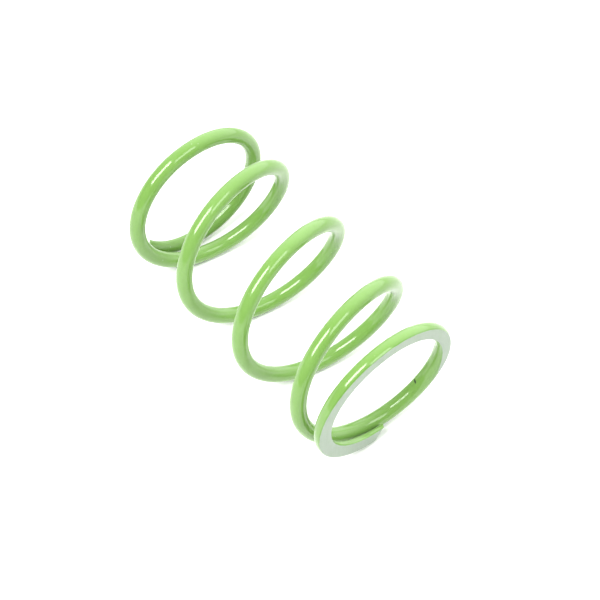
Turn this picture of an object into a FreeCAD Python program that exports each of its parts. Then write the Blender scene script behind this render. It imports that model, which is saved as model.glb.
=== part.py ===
import FreeCAD, Part
import os

# A closed and ground compression spring, right-hand wound from one round wire and lying on its side.
# Frame: +X along the coil axis from the rear end to the front end, +Z up, origin on the surface that
# the coils lie on, under the middle of the spring.
#
# The wire is cut by planes through the coil axis into short sections, because each section slides
# along the axis past the next one when the spring is squeezed. A distance along the wire is counted
# in turns from the nearer tip.

DIMENSIONS = {
    # alias: (value or formula, what it is)
    "outer_diameter": ("60", "over the active coils, mm"),
    "wire_diameter": ("5.7", "steel wire with its powder coat, mm"),
    "free_length": ("106.8", "between the two ground faces, mm"),
    "total_turns": ("5.158", "tip to tip, without the rear tip's extra turns"),
    "end_coil_inset": ("0.95", "how much smaller the radius of a closed end coil is, mm"),
    "closed_turns": ("0.67", "turns of the closed coil, before the pitch starts to rise"),
    "rise_turns": ("0.51", "turns in which the pitch rises to that of the active coils"),
    "lead_turns": ("0.125", "last stretch of the rise, kept as a section of its own"),
    "closed_pitch": ("1", "pitch left in the closed coil, mm per turn"),
    "rear_extra_turns": ("0.02", "how much further round the rear tip reaches than the front tip"),
    "front_extra_turns": ("0", "none"),
    "settle_turns": ("0.35", "turns in which the tip bends in to the closed coil"),
    "settle_height": ("1.7", "how far the tip stands out of the closed coil, mm"),
    "tip_thickness": ("2.45", "wire left at the tip after grinding, mm"),
    "tip_skew": ("36", "angle of the cut-off wire end across the face, degrees"),
    "tip_slope": ("36", "angle of the cut-off wire end through its thickness, degrees"),
    "front_tip_angle": ("3", "front tip, from straight down and right-handed about the axis, degrees"),
    "active_sections": ("22", "sections of the active coils"),
    "wire_radius": ("=wire_diameter / 2", "mm"),
    "coil_radius": ("=outer_diameter / 2 - wire_radius", "coil axis to the wire's centre, mm"),
    "end_radius": ("=coil_radius - end_coil_inset", "the same for a closed end coil, mm"),
    "axis_height": ("=outer_diameter / 2", "coil axis above the surface, mm"),
    "tip_height": ("=tip_thickness - wire_radius", "wire's centre at the tip, from the ground face, mm"),
    "end_turns": ("=closed_turns + rise_turns", "turns outside the active coils at each end"),
    "active_turns": ("=total_turns - 2 * end_turns", "turns at full pitch"),
    "section_turns": ("=active_turns / active_sections", "turns of wire in one section"),
    "active_pitch": (
        "=(free_length - 2 * (tip_height + settle_height) - (2 * closed_turns + rise_turns)"
        " * closed_pitch) / (active_turns + rise_turns)", "mm per turn"),
    "rise_rate": ("=(active_pitch - closed_pitch) / (2 * rise_turns)", "mm per turn squared"),
    "end_height": (
        "=tip_height + settle_height + closed_pitch * end_turns + rise_rate * rise_turns * rise_turns",
        "wire's centre where full pitch is reached, from the ground face, mm"),
    "section_length": ("=active_pitch * section_turns", "height of one section, mm"),
    "rear_tip_angle": ("=front_tip_angle - 360 * total_turns", "degrees"),
}
CIRCLES_PER_TURN = 64  # cross-sections that guide the wire of an end, where pitch and radius change

doc = FreeCAD.newDocument("compression_spring")
pieces = []


def dimension_sheet():
    """Puts every driving and worked-out dimension in a spreadsheet cell with an alias."""
    cells = doc.addObject("Spreadsheet::Sheet", "Dimensions")
    for row, (alias, (value, meaning)) in enumerate(DIMENSIONS.items(), start=1):
        cells.set(f"A{row}", meaning)
        cells.set(f"B{row}", value)
        cells.setAlias(f"B{row}", alias)
    doc.recompute()
    return cells


sheet = dimension_sheet()


def dim(formula):
    """Points each alias in a formula at its cell of the sheet."""
    return " ".join(f"Dimensions.{word}" if word in DIMENSIONS else word for word in formula.split())


def finish_piece(shape_object, label, place):
    """Names a finished piece of wire, puts it in its place and keeps it for export."""
    shape_object.Label = label
    shape_object.setExpression("Placement", dim(place))
    pieces.append(shape_object)


def wire_circle(name, centre):
    """The wire's round section in a plane through the coil axis."""
    circle = doc.addObject("Part::Circle", name)
    circle.setExpression("Radius", dim("wire_radius"))
    circle.setExpression("Placement", dim(centre))
    return circle


def even_wire(name):
    """One section of the active coils, swept along a helix that starts at angle 0 and height 0."""
    path = doc.addObject("Part::Helix", f"{name}_path")
    path.setExpression("Radius", dim("coil_radius"))
    path.setExpression("Pitch", dim("active_pitch"))
    path.setExpression("Height", dim("section_length"))
    wire = doc.addObject("Part::Sweep", name)
    wire.Sections = [wire_circle(
        f"{name}_section", "placement(vector( coil_radius ; 0; 0); rotation(vector(1; 0; 0); 90))")]
    wire.Spine = (path, [])
    wire.Solid = True
    wire.Frenet = True
    return wire


def end_wire(name, first, last):
    """Wire lofted through its sections, between two distances from the tip in turns."""
    steps = round((last - first) * CIRCLES_PER_TURN)
    wire = doc.addObject("Part::Loft", name)
    wire.Sections = [
        end_section(f"{name}_section_{step}", first + (last - first) * step / steps)
        for step in range(steps + 1)]
    wire.Solid = True
    return wire


def end_section(name, turns):
    """The wire's section at a distance from the tip, where pitch and radius may both be changing."""
    unsettled = f"(1 - min( {turns} ; settle_turns ) / settle_turns )"
    risen = f"max(0; {turns} - closed_turns )"
    share = f"( {risen} / rise_turns )"
    height = (f"tip_height + settle_height * (1 - {unsettled} * {unsettled} )"
              f" + closed_pitch * {turns} + rise_rate * {risen} * {risen}")
    radius = f"end_radius + end_coil_inset * {share} * {share} * (3 - 2 * {share} )"
    return wire_circle(
        name, f"placement(vector(0; 0; {height} ); rotation(vector(0; 0; 1); 360 * {turns} ))"
        f" * placement(vector( {radius} ; 0; 0); rotation(vector(1; 0; 0); 90))")


def cutting_box(name, size, place):
    """A cube that is taken away from the wire."""
    box = doc.addObject("Part::Box", name)
    for side in ("Length", "Width", "Height"):
        box.setExpression(side, dim(size))
    box.setExpression("Placement", dim(place))
    return box


def cut(name, base, tool):
    """One shape less another."""
    result = doc.addObject("Part::Cut", name)
    result.Base = base
    result.Tool = tool
    return result


def spring_end(end, place):
    """A closed, ground end coil, its rise and the lead into the active coils.

    They are built in the end's own frame, where +Z runs into the spring, the ground face is at
    height 0 and the tip is at angle 0.
    """
    grinding = cutting_box(
        f"{end}_grinding", "2 * outer_diameter",
        "placement(vector( - outer_diameter ; - outer_diameter ; -2 * outer_diameter ); rotation(0; 0; 0))")
    tip_cut = cutting_box(
        f"{end}_tip_cut", "4 * wire_radius",
        f"placement(vector(0; 0; 0); rotation(vector(0; 0; 1); -360 * {end}_extra_turns ))"
        " * placement(vector( end_radius - wire_radius / 2; 0; tip_thickness );"
        " rotation(vector(0; 0; 1); tip_skew ) * rotation(vector(1; 0; 0); tip_slope ))"
        " * placement(vector( -2 * wire_radius ; -4 * wire_radius ; -2 * wire_radius ); rotation(0; 0; 0))")
    rise_end = sheet.end_turns - sheet.lead_turns
    tip = -getattr(sheet, f"{end}_extra_turns")
    closed = end_wire(f"{end}_closed_wire", tip, sheet.closed_turns)
    ground = cut(f"{end}_ground_wire", closed, grinding)
    finish_piece(cut(f"{end}_trimmed_wire", ground, tip_cut), f"{end}_ground_coil", place)
    rise = end_wire(f"{end}_rising_wire", sheet.closed_turns, rise_end)
    finish_piece(cut(f"{end}_ground_rise", rise, grinding), f"{end}_rise", place)
    finish_piece(end_wire(f"{end}_lead_wire", rise_end, sheet.end_turns), f"{end}_lead", place)


def active_coils():
    """The coils of full pitch, cut by planes through the axis into equal sections."""
    for number in range(1, round(sheet.active_sections) + 1):
        finish_piece(
            even_wire(f"active_wire_{number:02}"), f"active_coil_{number:02}",
            f"placement(vector( - free_length / 2 + end_height + section_length * {number - 1} ; 0;"
            " axis_height ); rotation(vector(0; 1; 0); 90) * rotation(vector(0; 0; 1);"
            f" rear_tip_angle + 360 * ( end_turns + section_turns * {number - 1} )))")


def check(thing):
    """Stops on an object that failed to build."""
    if "Invalid" in thing.State or "Error" in thing.State:
        raise RuntimeError(f"{thing.Name} failed: {thing.State}")


def write_pieces():
    """Checks every piece and writes each to a file of its own."""
    for thing in doc.Objects:
        check(thing)
    for piece in pieces:
        if piece.Shape.isNull() or not piece.Shape.isValid() or len(piece.Shape.Solids) != 1:
            raise RuntimeError(f"{piece.Label} isn't one valid solid")
    os.makedirs("parts", exist_ok=True)
    for piece in pieces:
        piece.Shape.exportStep(f"parts/{piece.Label}.step")


spring_end(
    "rear", "placement(vector( - free_length / 2; 0; axis_height ); rotation(vector(0; 1; 0); 90)"
    " * rotation(vector(0; 0; 1); rear_tip_angle ))")
active_coils()
spring_end(
    "front", "placement(vector( free_length / 2; 0; axis_height ); rotation(vector(0; 1; 0); 90)"
    " * rotation(vector(0; 0; 1); front_tip_angle ) * rotation(vector(1; 0; 0); 180))")
doc.recompute()
write_pieces()
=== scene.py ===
"""Closed and ground coil spring with a green powder coat, lying on a pale floor.

Geometry Nodes wind the wire from the spring's dimensions. It is wound in stretches, one for each end
coil and one across each sliding joint, where it bends from one body to the next.
"""
import math

import bpy
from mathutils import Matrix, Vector
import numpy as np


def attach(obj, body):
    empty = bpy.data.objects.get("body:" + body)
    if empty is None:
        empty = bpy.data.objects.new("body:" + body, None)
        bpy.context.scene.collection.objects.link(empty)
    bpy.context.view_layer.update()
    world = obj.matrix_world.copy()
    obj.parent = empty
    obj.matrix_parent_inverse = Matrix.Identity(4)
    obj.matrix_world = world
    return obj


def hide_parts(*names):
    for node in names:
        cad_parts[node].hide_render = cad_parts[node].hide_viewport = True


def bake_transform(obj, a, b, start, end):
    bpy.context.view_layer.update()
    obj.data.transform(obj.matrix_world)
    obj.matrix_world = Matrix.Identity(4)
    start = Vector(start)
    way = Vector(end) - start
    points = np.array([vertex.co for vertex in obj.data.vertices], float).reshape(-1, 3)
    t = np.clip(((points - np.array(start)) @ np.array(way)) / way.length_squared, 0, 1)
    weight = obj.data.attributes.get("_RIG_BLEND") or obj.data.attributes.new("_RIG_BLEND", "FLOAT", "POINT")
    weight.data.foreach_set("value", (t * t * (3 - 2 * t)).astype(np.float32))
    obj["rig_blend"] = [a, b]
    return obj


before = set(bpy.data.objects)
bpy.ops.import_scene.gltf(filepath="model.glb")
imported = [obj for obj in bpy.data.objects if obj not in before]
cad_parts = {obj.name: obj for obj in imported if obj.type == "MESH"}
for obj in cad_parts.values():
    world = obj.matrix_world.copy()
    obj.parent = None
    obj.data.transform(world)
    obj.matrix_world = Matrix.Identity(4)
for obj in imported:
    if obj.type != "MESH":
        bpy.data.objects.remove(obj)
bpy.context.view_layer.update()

# The spring's dimensions, in metres, turns and degrees.
WIRE_RADIUS = 0.00285
COIL_RADIUS = 0.02715
END_INSET = 0.00095
FREE_LENGTH = 0.1068
AXIS_HEIGHT = 0.030
TOTAL_TURNS = 5.158
REAR_EXTRA_TURNS = 0.02
CLOSED_TURNS = 0.67
RISE_TURNS = 0.51
CLOSED_PITCH = 0.001
SETTLE_TURNS = 0.35
SETTLE_HEIGHT = 0.0017
TIP_THICKNESS = 0.00245
TIP_SKEW = 36
TIP_SLOPE = 36
TIP_REACH = 0.012  # length of wire over which the rings straighten behind the oblique tip
TIP_EDGE_RADIUS = 0.00015
FACE_EDGE_RADIUS = 0.00018
FRONT_TIP_ANGLE = 3
ACTIVE_SECTIONS = 22

TIP_HEIGHT = TIP_THICKNESS - WIRE_RADIUS
END_TURNS = CLOSED_TURNS + RISE_TURNS
ACTIVE_TURNS = TOTAL_TURNS - 2 * END_TURNS
SECTION_TURNS = ACTIVE_TURNS / ACTIVE_SECTIONS
ACTIVE_PITCH = (
    (FREE_LENGTH - 2 * (TIP_HEIGHT + SETTLE_HEIGHT) - (2 * CLOSED_TURNS + RISE_TURNS) * CLOSED_PITCH)
    / (ACTIVE_TURNS + RISE_TURNS))
RISE_RATE = (ACTIVE_PITCH - CLOSED_PITCH) / (2 * RISE_TURNS)
REAR_TIP_ANGLE = FRONT_TIP_ANGLE - 360 * TOTAL_TURNS

# The wire's mesh.
RINGS_PER_TURN = 240
CLOSING_RINGS = 6  # extra rings of a stretch, for the short steps and closed ends
WIRE_COLUMNS = 64  # columns of faces round the wire
FACE_COLUMNS = 14  # across the ground face,
EDGE_COLUMNS = 4  # and round each of its two edges
TIP_RINGS = 5  # rings round the edge of the wire's cut-off end
MERGE_DISTANCE = 0.000001
SHARP_ANGLE = 40


# ---------------------------------------------------------------- node arithmetic

class Field:
    """A number that nodes work out at every point. Arithmetic on it adds Math nodes to its tree."""

    def __init__(self, tree, socket):
        self.tree = tree
        self.socket = socket

    def math(self, operation, *others):
        node = self.tree.nodes.new("ShaderNodeMath")
        node.operation = operation
        for slot, value in zip(node.inputs, (self, *others)):
            feed(self.tree, slot, value)
        return Field(self.tree, node.outputs[0])

    def __add__(self, other):
        return self.math("ADD", other)

    def __sub__(self, other):
        return self.math("SUBTRACT", other)

    def __rsub__(self, other):
        return (self * -1) + other

    def __mul__(self, other):
        return self.math("MULTIPLY", other)

    def __truediv__(self, other):
        return self.math("DIVIDE", other)

    __radd__ = __add__
    __rmul__ = __mul__

    def limited(self, low=0.0, high=1.0):
        return self.math("MAXIMUM", low).math("MINIMUM", high)


def feed(tree, slot, value):
    """Links a field or a socket to an input, or sets the input to a constant."""
    if isinstance(value, Field):
        value = value.socket
    if isinstance(value, bpy.types.NodeSocket):
        tree.links.new(value, slot)
    else:
        slot.default_value = value


def add_node(tree, kind, settings=None, **inputs):
    """Adds a node, with its settings and its inputs by name, where _ stands for a space."""
    node = tree.nodes.new(kind)
    for name, value in (settings or {}).items():
        setattr(node, name, value)
    for name, value in inputs.items():
        feed(tree, node.inputs[name.replace("_", " ")], value)
    return node


# ---------------------------------------------------------------- the wire

WIRE_INPUTS = {
    # name: socket type
    "First turn": "NodeSocketFloat",       # from this end's tip
    "Last turn": "NodeSocketFloat",
    "Rings": "NodeSocketInt",
    "Face columns": "NodeSocketInt",       # columns of faces across the ground face,
    "Edge columns": "NodeSocketInt",       # round each of its two edges,
    "Wire columns": "NodeSocketInt",       # and round the rest of the wire
    "Tip rings": "NodeSocketInt",          # rings round the edge of the wire's cut-off end
    "Tip edge": "NodeSocketFloat",         # radius of that edge
    "First step": "NodeSocketFloat",       # length of wire that those rings take
    "Face edge": "NodeSocketFloat",        # radius of the ground face's edges
    "Direction": "NodeSocketFloat",        # 1 from the rear end, -1 from the front end
    "Tip angle": "NodeSocketFloat",        # from straight down, right-handed about +X, in radians
    "Extra turns": "NodeSocketFloat",      # by which the wire reaches beyond that angle
    "Free length": "NodeSocketFloat",
    "Axis height": "NodeSocketFloat",
    "Wire radius": "NodeSocketFloat",
    "Coil radius": "NodeSocketFloat",
    "End inset": "NodeSocketFloat",
    "Tip height": "NodeSocketFloat",
    "Closed turns": "NodeSocketFloat",
    "Closed pitch": "NodeSocketFloat",
    "Settle turns": "NodeSocketFloat",
    "Settle height": "NodeSocketFloat",
    "Rise turns": "NodeSocketFloat",
    "Rise rate": "NodeSocketFloat",
    "Tip skew": "NodeSocketFloat",         # slope of the cut-off end across the face,
    "Tip slope": "NodeSocketFloat",        # and through its thickness
    "Tip reach": "NodeSocketFloat",        # length of wire over which the rings straighten
    "Finish": "NodeSocketMaterial",
}
LAST_STEP = 0.00004  # length of wire before its last ring, so that its normals meet its neighbour's


def wound_wire_tree():
    """The node tree that winds a stretch of the spring's wire, ground flat where it crosses the end."""
    tree = bpy.data.node_groups.new("wound_wire", "GeometryNodeTree")
    for name, kind in WIRE_INPUTS.items():
        tree.interface.new_socket(name, in_out="INPUT", socket_type=kind)
    tree.interface.new_socket("Geometry", in_out="OUTPUT", socket_type="NodeSocketGeometry")
    entry = tree.nodes.new("NodeGroupInput")
    size = {name: Field(tree, entry.outputs[name]) for name in WIRE_INPUTS}

    # Each vertex knows its ring along the wire and its column round it.
    columns = size["Face columns"] + size["Wire columns"] + size["Edge columns"] * 2
    grid = add_node(tree, "GeometryNodeMeshGrid", Vertices_X=size["Rings"], Vertices_Y=columns + 1)
    index = Field(tree, tree.nodes.new("GeometryNodeInputIndex").outputs[0])
    ring = (index / (columns + 1)).math("FLOOR")
    column = index - ring * (columns + 1)

    # Rings: round the edge of the wire's end, evenly along the wire, then one last short step. The
    # first and the last ring close the ends.
    round_end = ((ring - 1) / size["Tip rings"]).limited() * (math.pi / 2)
    stretch = (size["Last turn"] - size["First turn"]) * (size["Coil radius"] * math.tau)
    even = ((ring - size["Tip rings"] - 1) / (size["Rings"] - size["Tip rings"] - 4)).limited()
    along = (
        size["First step"] * (1 - round_end.math("COSINE"))
        + even * (stretch - size["First step"] - LAST_STEP)
        + (ring - size["Rings"] + 3).limited() * LAST_STEP)
    turns = size["First turn"] + along / (size["Coil radius"] * math.tau)
    shrink = 1 - size["Tip edge"] * (1 - round_end.math("SINE")) / size["Wire radius"]
    inside = ring.limited() * (size["Rings"] - ring - 1).limited()
    shrink = shrink * inside

    # The wire's centre: height above the ground face, and distance from the coil axis.
    risen = (turns - size["Closed turns"]).limited(0.0, size["Rise turns"])
    unsettled = 1 - turns.math("MINIMUM", size["Settle turns"]) / size["Settle turns"]
    beyond = (turns - size["Closed turns"] - size["Rise turns"]).math("MAXIMUM", 0.0)
    height = (
        size["Tip height"] + size["Settle height"] * (1 - unsettled * unsettled)
        + size["Closed pitch"] * turns + size["Rise rate"] * risen * risen
        + size["Rise rate"] * size["Rise turns"] * 2 * beyond)
    share = risen / size["Rise turns"]
    radius = size["Coil radius"] - size["End inset"] * (1 - share * share * (3 - 2 * share))

    # The section: a circle, or what the ground face leaves of it, with rounded corners.
    core = size["Wire radius"] - size["Face edge"]
    half_cut = ((height - size["Face edge"]) / core).limited(-1.0, 1.0).math("ARCCOSINE")
    across = (column / size["Face columns"]).limited()
    column = column - size["Face columns"]
    first_edge = (column / size["Edge columns"]).limited()
    column = column - size["Edge columns"]
    round_wire = (column / size["Wire columns"]).limited()
    column = column - size["Wire columns"]
    last_edge = (column / size["Edge columns"]).limited()
    round_arc = round_wire * (math.tau - 2 * half_cut)
    facing = half_cut * (first_edge + last_edge) + round_arc
    core_angle = half_cut + round_arc
    out = (core * (core_angle.math("SINE") - 2 * half_cut.math("SINE") * (1 - across))
           + size["Face edge"] * facing.math("SINE"))
    up = height - core * core_angle.math("COSINE") - size["Face edge"] * facing.math("COSINE")
    middle = ((height - size["Wire radius"]).math("MAXIMUM", 0.0) + height + size["Wire radius"]) / 2
    out = radius + out * shrink
    up = middle + (up - middle) * shrink

    # The wire's end is cut off obliquely: the rings near it slant.
    slant = ((out - size["Coil radius"] + size["End inset"] + size["Wire radius"] / 2) * size["Tip skew"]
             + (size["Tip height"] + size["Wire radius"] - up) * size["Tip slope"])
    from_tip = (turns + size["Extra turns"]) * (size["Coil radius"] * math.tau)
    near_tip = 1 - (from_tip / size["Tip reach"]).limited()
    angle = (size["Tip angle"]
             + size["Direction"] * (turns * math.tau + slant * near_tip * near_tip / out))

    place = add_node(
        tree, "ShaderNodeCombineXYZ",
        X=size["Direction"] * (up - size["Free length"] / 2),
        Y=out * angle.math("SINE"),
        Z=size["Axis height"] - out * angle.math("COSINE"))
    wound = add_node(tree, "GeometryNodeSetPosition", Geometry=grid.outputs["Mesh"],
                     Position=place.outputs[0])
    closed = add_node(tree, "GeometryNodeMergeByDistance", Geometry=wound.outputs[0],
                      Distance=MERGE_DISTANCE)
    smooth = add_node(tree, "GeometryNodeSetShadeSmooth", {"domain": "FACE"},
                      Geometry=closed.outputs[0], Shade_Smooth=True)
    bend = tree.nodes.new("GeometryNodeInputMeshEdgeAngle")
    sharp = add_node(tree, "FunctionNodeCompare", {"operation": "GREATER_THAN"}, A=bend.outputs[0])
    feed(tree, sharp.inputs["B"], math.radians(SHARP_ANGLE))
    sharpened = add_node(
        tree, "GeometryNodeSetShadeSmooth", {"domain": "EDGE"}, Geometry=smooth.outputs[0],
        Selection=sharp.outputs[0], Shade_Smooth=False)
    realised = add_node(tree, "GeometryNodeRealizeInstances", Geometry=sharpened.outputs[0])
    finished = add_node(tree, "GeometryNodeSetMaterial", Geometry=realised.outputs[0],
                        Material=size["Finish"])
    leave = tree.nodes.new("NodeGroupOutput")
    tree.links.new(finished.outputs[0], leave.inputs[0])
    return tree


WIRE_SIZES = {
    "Free length": FREE_LENGTH,
    "Axis height": AXIS_HEIGHT,
    "Wire radius": WIRE_RADIUS,
    "Coil radius": COIL_RADIUS,
    "End inset": END_INSET,
    "Tip height": TIP_HEIGHT,
    "Closed turns": CLOSED_TURNS,
    "Closed pitch": CLOSED_PITCH,
    "Settle turns": SETTLE_TURNS,
    "Settle height": SETTLE_HEIGHT,
    "Rise turns": RISE_TURNS,
    "Rise rate": RISE_RATE,
    "Tip skew": math.tan(math.radians(TIP_SKEW)),
    "Tip slope": math.tan(math.radians(TIP_SLOPE)) / math.cos(math.radians(TIP_SKEW)),
    "Tip reach": TIP_REACH,
    "Face edge": FACE_EDGE_RADIUS,
    "Wire columns": WIRE_COLUMNS,
}
REAR = {"Direction": 1.0, "Tip angle": math.radians(REAR_TIP_ANGLE), "Extra turns": REAR_EXTRA_TURNS}
FRONT = {"Direction": -1.0, "Tip angle": math.radians(FRONT_TIP_ANGLE), "Extra turns": 0.0}


def wind_wire(tree, name, end, first_turn, last_turn, finish, **inputs):
    """Winds one stretch of wire and keeps it as a plain mesh."""
    piece = bpy.data.objects.new(name, bpy.data.meshes.new(name))
    bpy.context.scene.collection.objects.link(piece)
    winding = piece.modifiers.new("wound wire", "NODES")
    winding.node_group = tree
    values = {
        **WIRE_SIZES, **end, "First turn": first_turn, "Last turn": last_turn, "Finish": finish,
        **{key.replace("_", " "): value for key, value in inputs.items()}}
    for socket in tree.interface.items_tree:
        if socket.in_out == "INPUT":
            winding[socket.identifier] = values[socket.name]
    wound = piece.evaluated_get(bpy.context.evaluated_depsgraph_get())
    mesh = bpy.data.meshes.new_from_object(wound)
    piece.modifiers.remove(winding)
    piece.data = mesh
    return piece


def wire_centre(end, turns):
    """The wire's centre in the spring's own frame, outside the stretch where the tip settles."""
    risen = min(max(turns - CLOSED_TURNS, 0), RISE_TURNS)
    height = (TIP_HEIGHT + SETTLE_HEIGHT + CLOSED_PITCH * turns + RISE_RATE * risen ** 2
              + (ACTIVE_PITCH - CLOSED_PITCH) * max(turns - END_TURNS, 0))
    share = risen / RISE_TURNS
    radius = COIL_RADIUS - END_INSET * (1 - share ** 2 * (3 - 2 * share))
    angle = end["Tip angle"] + end["Direction"] * math.tau * turns
    return Vector((end["Direction"] * (height - FREE_LENGTH / 2), radius * math.sin(angle),
                   AXIS_HEIGHT - radius * math.cos(angle)))


def end_coil(tree, name, end, body, finish, nodes):
    """A closed, ground end coil with its rise, as far as the first stretch that bends."""
    last_turn = END_TURNS - SECTION_TURNS / 2
    piece = wind_wire(
        tree, name, end, -end["Extra turns"], last_turn, finish,
        Rings=round(last_turn * RINGS_PER_TURN), Face_columns=FACE_COLUMNS,
        Edge_columns=EDGE_COLUMNS, Tip_rings=TIP_RINGS,
        Tip_edge=TIP_EDGE_RADIUS, First_step=TIP_EDGE_RADIUS)
    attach(piece, body)
    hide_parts(*nodes)


def share_evenly(piece, number, middle):
    """Easing suits cloth, but a squeezed spring closes evenly, and eased stretches make its coils wavy. Only
    the first stretch eases in and only the last eases out, where the coils meet the rigid ends.
    """
    weights = piece.data.attributes["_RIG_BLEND"].data
    for vertex, weight in zip(piece.data.vertices, weights):
        angle = math.atan2(vertex.co.y, AXIS_HEIGHT - vertex.co.z)
        share = 0.5 + math.remainder(angle - middle, math.tau) / (math.tau * SECTION_TURNS)
        share = min(max(share, 0.0), 1.0)
        if number == 0:
            share = share ** 2 * (2 - share)
        elif number == ACTIVE_SECTIONS:
            share = share + share ** 2 * (1 - share)
        weight.value = share


def coil_wire(tree, number, finish):
    """The stretch of wire across one joint, half in each of the two bodies that it joins."""
    end, turns = REAR, END_TURNS + number * SECTION_TURNS
    if number == ACTIVE_SECTIONS:
        end, turns = FRONT, END_TURNS
    span = sorted((turns - SECTION_TURNS / 2, turns + SECTION_TURNS / 2))
    piece = wind_wire(
        tree, f"coil_wire_{number:02}", end, *span, finish,
        Rings=round(SECTION_TURNS * RINGS_PER_TURN) + CLOSING_RINGS,
        Face_columns=1, Edge_columns=1, Tip_rings=1, Tip_edge=0.0, First_step=LAST_STEP)
    sections = [f"active_coil_{k:02}" for k in range(1, ACTIVE_SECTIONS + 1)]
    bodies = ["rear_lead", *sections, "front_end"]
    first, last = (wire_centre(end, value) for value in span[::int(end["Direction"])])
    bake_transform(piece, bodies[number], bodies[number + 1], start=first, end=last)
    share_evenly(piece, number, end["Tip angle"] + end["Direction"] * math.tau * turns)
    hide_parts(f"active_coil_{number:02}" if number else "rear_lead")


# ---------------------------------------------------------------- finishes

def shader_group(name, inputs, outputs):
    """An empty shader node group with named sockets, and its entry and exit."""
    tree = bpy.data.node_groups.new(name, "ShaderNodeTree")
    for in_out, sockets in (("INPUT", inputs), ("OUTPUT", outputs)):
        for socket_name, kind in sockets.items():
            tree.interface.new_socket(socket_name, in_out=in_out, socket_type=f"NodeSocket{kind}")
    return tree, tree.nodes.new("NodeGroupInput"), tree.nodes.new("NodeGroupOutput")


def noise(tree, where, scale, detail=2.0, roughness=0.5):
    """Noise between about 0.3 and 0.7, as a field."""
    node = add_node(tree, "ShaderNodeTexNoise", Vector=where, Scale=scale, Detail=detail,
                    Roughness=roughness)
    return Field(tree, node.outputs["Fac"])


def ramp(field, low, high, start=0.0, end=1.0):
    """Takes a field from start to end as it goes from low to high, smoothly."""
    node = add_node(field.tree, "ShaderNodeMapRange", {"interpolation_type": "SMOOTHSTEP"})
    for slot, value in zip(node.inputs, (field, low, high, start, end)):
        feed(field.tree, slot, value)
    return Field(field.tree, node.outputs[0])


def mixed_colour(tree, share, first, second):
    """One colour turning to another, as a socket."""
    node = add_node(tree, "ShaderNodeMix", {"data_type": "RGBA"})
    feed(tree, node.inputs[0], share)
    feed(tree, node.inputs[6], first)
    feed(tree, node.inputs[7], second)
    return node.outputs[2]


# The sizes of the coat's patterns, in features per metre.
CLOUD_SCALE = 55.0  # slow changes of tone
MOTTLE_SCALE = 900.0
NIB_SCALE = 420.0  # specks of dust under the coat,
NIB_PATCH_SCALE = 130.0  # which lie in patches
SCUFF_SCALE = 240.0
PEEL_SCALE = 620.0  # orange peel,
FINE_PEEL_SCALE = 1500.0  # and the finer one on it
DUST_COLOUR = (0.50, 0.56, 0.42, 1.0)
BASE_ROUGHNESS = 0.08


def powder_coat_group():
    """Powder coat: soft changes of tone, orange peel, dust nibs and scuffs."""
    tree, entry, leave = shader_group(
        "powder_coat", {"Place": "Vector", "Coat": "Color", "Thin coat": "Color", "Dust": "Float"},
        {"Colour": "Color", "Roughness": "Float", "Height": "Float"})
    where = entry.outputs["Place"]
    cloud = noise(tree, where, CLOUD_SCALE, 3.0)
    mottle = noise(tree, where, MOTTLE_SCALE, 2.0)
    tone = ramp(cloud, 0.35, 0.68) * 0.6 + ramp(mottle, 0.3, 0.75) * 0.25
    colour = mixed_colour(tree, tone, entry.outputs["Coat"], entry.outputs["Thin coat"])
    nibs = add_node(tree, "ShaderNodeTexVoronoi", Vector=where, Scale=NIB_SCALE)
    nib = ramp(Field(tree, nibs.outputs["Distance"]), 0.05, 0.16, 1.0, 0.0)
    rare = ramp(noise(tree, where, NIB_PATCH_SCALE, 2.0), 0.56, 0.64)
    dust = nib * rare * Field(tree, entry.outputs["Dust"])
    colour = mixed_colour(tree, dust * 0.2, colour, DUST_COLOUR)
    scuff = ramp(noise(tree, where, SCUFF_SCALE, 6.0, 0.7), 0.56, 0.7)
    roughness = BASE_ROUGHNESS + ramp(cloud, 0.3, 0.7) * 0.05 + scuff * 0.08 + dust * 0.25
    peel = noise(tree, where, PEEL_SCALE, 1.0) + noise(tree, where, FINE_PEEL_SCALE, 2.0) * 0.3
    feed(tree, leave.inputs["Colour"], colour)
    feed(tree, leave.inputs["Roughness"], roughness)
    feed(tree, leave.inputs["Height"], peel + dust * 0.5)
    return tree


GREEN_COAT = (0.148, 0.294, 0.060, 1.0)
GREEN_THIN_COAT = (0.174, 0.326, 0.082, 1.0)
COAT_HAZE = 0.3  # milky haze where the coat is seen at a grazing angle
HAZE_ROUGHNESS = 0.25
PEEL_HEIGHT = 0.00002


def coated_material(name, powder_coat):
    """The glossy green coat, with its shader."""
    material = bpy.data.materials.new(name)
    material.use_nodes = True
    tree = material.node_tree
    shader = tree.nodes["Principled BSDF"]
    where = tree.nodes.new("ShaderNodeTexCoord").outputs["Object"]
    coat = tree.nodes.new("ShaderNodeGroup")
    coat.node_tree = powder_coat
    values = {"Place": where, "Coat": GREEN_COAT, "Thin coat": GREEN_THIN_COAT, "Dust": 1.0}
    for slot, value in values.items():
        feed(tree, coat.inputs[slot], value)
    shader.inputs["IOR"].default_value = 1.5
    shader.inputs["Sheen Weight"].default_value = COAT_HAZE
    shader.inputs["Sheen Roughness"].default_value = HAZE_ROUGHNESS
    feed(tree, shader.inputs["Base Color"], coat.outputs["Colour"])
    feed(tree, shader.inputs["Roughness"], coat.outputs["Roughness"])
    bump = add_node(tree, "ShaderNodeBump", Strength=0.1, Distance=PEEL_HEIGHT,
                    Height=coat.outputs["Height"])
    feed(tree, shader.inputs["Normal"], bump.outputs[0])
    return material, shader, coat, bump, where


CHIP_PLACE = (0.0490, 0.0173, 0.0136)
CHIP_TURN = -26  # about Z, in degrees
CHIP_SIZE = (0.0010, 0.0003, 0.0006)
CHIP_EDGE_SCALE = 3000.0  # its ragged edge
CHIP_COLOUR = (0.035, 0.045, 0.03, 1.0)


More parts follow.
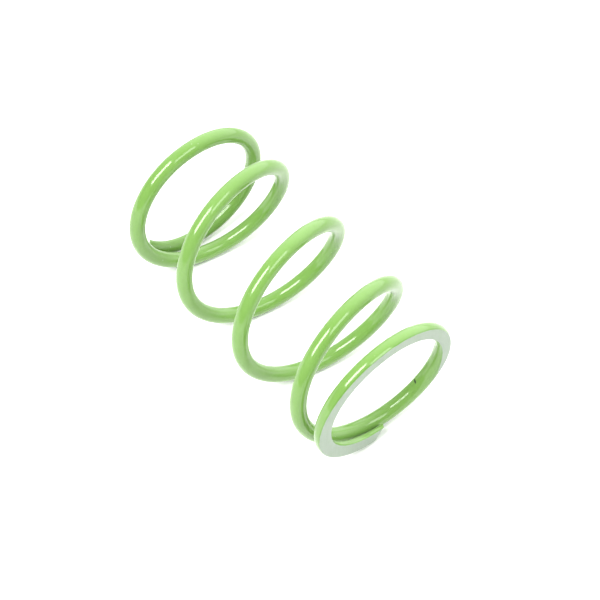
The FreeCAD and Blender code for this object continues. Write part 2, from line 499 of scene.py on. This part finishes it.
def chipped(tree, where):
    """A small chip in the coat on the inner side of the front end coil, as a mask."""
    placed = add_node(tree, "ShaderNodeMapping", {"vector_type": "TEXTURE"}, Vector=where)
    placed.inputs["Location"].default_value = CHIP_PLACE
    placed.inputs["Rotation"].default_value = (0.0, 0.0, math.radians(CHIP_TURN))
    placed.inputs["Scale"].default_value = CHIP_SIZE
    length = add_node(tree, "ShaderNodeVectorMath", {"operation": "LENGTH"}, Vector=placed.outputs[0])
    ragged = Field(tree, length.outputs["Value"]) + noise(tree, where, CHIP_EDGE_SCALE, 2.0) * 0.8
    return ramp(ragged, 1.1, 1.5, 1.0, 0.0)


# Pale colours painted on the ground face: a painted reflection of the bright room in its glossy coat.
PAINTED_FACE_REFLECTION = (0.245, 0.315, 0.235, 1.0)
PAINTED_FACE_REFLECTION_GREENER = (0.205, 0.29, 0.18, 1.0)
RIM_GREEN = (0.07, 0.19, 0.03, 1.0)  # the coat just behind the ground face's edge
PATCH_SCALE = 420.0
GRINDING_TURN = (0.6, 0.0, 0.0)  # of the grinding lines about the coil axis, in radians
GRINDING_STRETCH = (1.0, 40.0, 1.0)
GRINDING_SCALE = 90.0


def ground_end_material(powder_coat):
    """The same coat, with a painted reflection: pale over the ground face, where grinding lines show."""
    material, shader, coat, bump, where = coated_material("ground end and coat", powder_coat)
    tree = material.node_tree
    split = add_node(tree, "ShaderNodeSeparateXYZ", Vector=where)
    end_distance = FREE_LENGTH / 2 - Field(tree, split.outputs["X"]).math("ABSOLUTE")
    patchy = noise(tree, where, PATCH_SCALE, 3.0)
    face = ramp(end_distance + (patchy - 0.5) * 0.00012, 0.00001, 0.00009, 1.0, 0.0)
    stretched = add_node(tree, "ShaderNodeMapping", Vector=where)
    stretched.inputs["Rotation"].default_value = GRINDING_TURN
    stretched.inputs["Scale"].default_value = GRINDING_STRETCH
    lines = noise(tree, stretched.outputs[0], GRINDING_SCALE, 4.0, 0.65)
    face_tone_variation = ramp(lines, 0.35, 0.65) * 0.25 + ramp(patchy, 0.35, 0.7) * 0.3
    # Painted reflection on the ground face; the grinding lines and patches that vary its tone are real
    # texture.
    pale = mixed_colour(tree, face_tone_variation, PAINTED_FACE_REFLECTION, PAINTED_FACE_REFLECTION_GREENER)
    rim = ramp(end_distance, 0.00008, 0.00020) * ramp(end_distance, 0.00030, 0.00055, 1.0, 0.0)
    coated = mixed_colour(tree, rim * 0.35, coat.outputs["Colour"], RIM_GREEN)
    chip = chipped(tree, where)
    # The ground face gets the painted reflection; the rest of the wire keeps the coat.
    finish = mixed_colour(tree, face, coated, pale)
    feed(tree, shader.inputs["Base Color"], mixed_colour(tree, chip, finish, CHIP_COLOUR))
    feed(tree, shader.inputs["Roughness"],
         Field(tree, coat.outputs["Roughness"]) + face * (0.22 + ramp(lines, 0.3, 0.7) * 0.08))
    feed(tree, bump.inputs["Height"], Field(tree, coat.outputs["Height"]) + face * lines * 0.5)
    return material


# ---------------------------------------------------------------- floor, light and camera

FLOOR_HALF_WIDTH = 4.0
FLOOR_COLOUR = (0.88, 0.88, 0.88, 1.0)
FLOOR_ROUGHNESS = 0.9
FAR_WALL = (-0.35, 0.93, 0.10)  # towards the brightest part of the room
ROOM_GLOW = (0.22, 3.1)  # dimmest and brightest
SOFTBOXES = {
    # name: direction from the spring, width, height, power in watts
    "left softbox": ((-0.02, -0.55, 0.835), 0.42, 0.66, 15),
    "right softbox": ((0.59, 0.13, 0.80), 0.52, 0.42, 4.2),
}
SOFTBOX_DISTANCE = 1.0
LENS = 98.14  # mm
SENSOR_WIDTH = 36
CAMERA_PLACE = (0.24092, -0.18806, 0.50090)
CAMERA_VIEW = (-0.4190, 0.33795, -0.84273)


def pale_floor():
    """A plain matt floor under the coils."""
    mesh = bpy.data.meshes.new("floor")
    half = FLOOR_HALF_WIDTH
    corners = [(-half, -half, 0), (half, -half, 0), (half, half, 0), (-half, half, 0)]
    mesh.from_pydata(corners, [], [(0, 1, 2, 3)])
    floor = bpy.data.objects.new("floor", mesh)
    bpy.context.scene.collection.objects.link(floor)
    material = bpy.data.materials.new("pale floor")
    material.use_nodes = True
    shader = material.node_tree.nodes["Principled BSDF"]
    shader.inputs["Base Color"].default_value = FLOOR_COLOUR
    shader.inputs["Roughness"].default_value = FLOOR_ROUGHNESS
    mesh.materials.append(material)


def soft_light(name, direction, width, height, power):
    """A white rectangular light that faces the spring from a direction."""
    light = bpy.data.lights.new(name, "AREA")
    light.shape = "RECTANGLE"
    light.size = width
    light.size_y = height
    light.energy = power
    lamp = bpy.data.objects.new(name, light)
    towards = Vector(direction).normalized()
    lamp.location = Vector((0, 0, AXIS_HEIGHT)) + towards * SOFTBOX_DISTANCE
    lamp.rotation_euler = towards.to_track_quat("Z", "Y").to_euler()
    bpy.context.scene.collection.objects.link(lamp)


def studio():
    """Two softboxes overhead, in a white room whose far wall is brightest."""
    world = bpy.data.worlds.new("studio")
    bpy.context.scene.world = world
    world.use_nodes = True
    tree = world.node_tree
    background = tree.nodes["Background"]
    background.inputs["Color"].default_value = (1.0, 1.0, 1.0, 1.0)
    towards = add_node(tree, "ShaderNodeVectorMath", {"operation": "DOT_PRODUCT"})
    feed(tree, towards.inputs[0], tree.nodes.new("ShaderNodeTexCoord").outputs["Generated"])
    feed(tree, towards.inputs[1], Vector(FAR_WALL))
    glow = ramp(Field(tree, towards.outputs["Value"]), -0.1, 1.0, *ROOM_GLOW)
    feed(tree, background.inputs["Strength"], glow)
    for name, softbox in SOFTBOXES.items():
        soft_light(name, *softbox)
    bpy.context.scene.view_settings.view_transform = "Standard"


def camera():
    """Looks down on the spring from over its front end and right side."""
    lens = bpy.data.cameras.new("camera")
    lens.lens = LENS
    lens.sensor_width = SENSOR_WIDTH
    holder = bpy.data.objects.new("camera", lens)
    holder.location = CAMERA_PLACE
    holder.rotation_euler = Vector(CAMERA_VIEW).to_track_quat("-Z", "Y").to_euler()
    bpy.context.scene.collection.objects.link(holder)
    bpy.context.scene.camera = holder


powder_coat = powder_coat_group()
green_coat = coated_material("green powder coat", powder_coat)[0]
ground_end = ground_end_material(powder_coat)

wound_wire = wound_wire_tree()
end_coil(wound_wire, "rear_end_coil", REAR, "rear_end", ground_end, ["rear_ground_coil", "rear_rise"])
for number in range(ACTIVE_SECTIONS + 1):
    coil_wire(wound_wire, number, green_coat)
end_coil(wound_wire, "front_end_coil", FRONT, "front_end", ground_end,
         ["front_lead", "front_rise", "front_ground_coil"])

pale_floor()
studio()
camera()
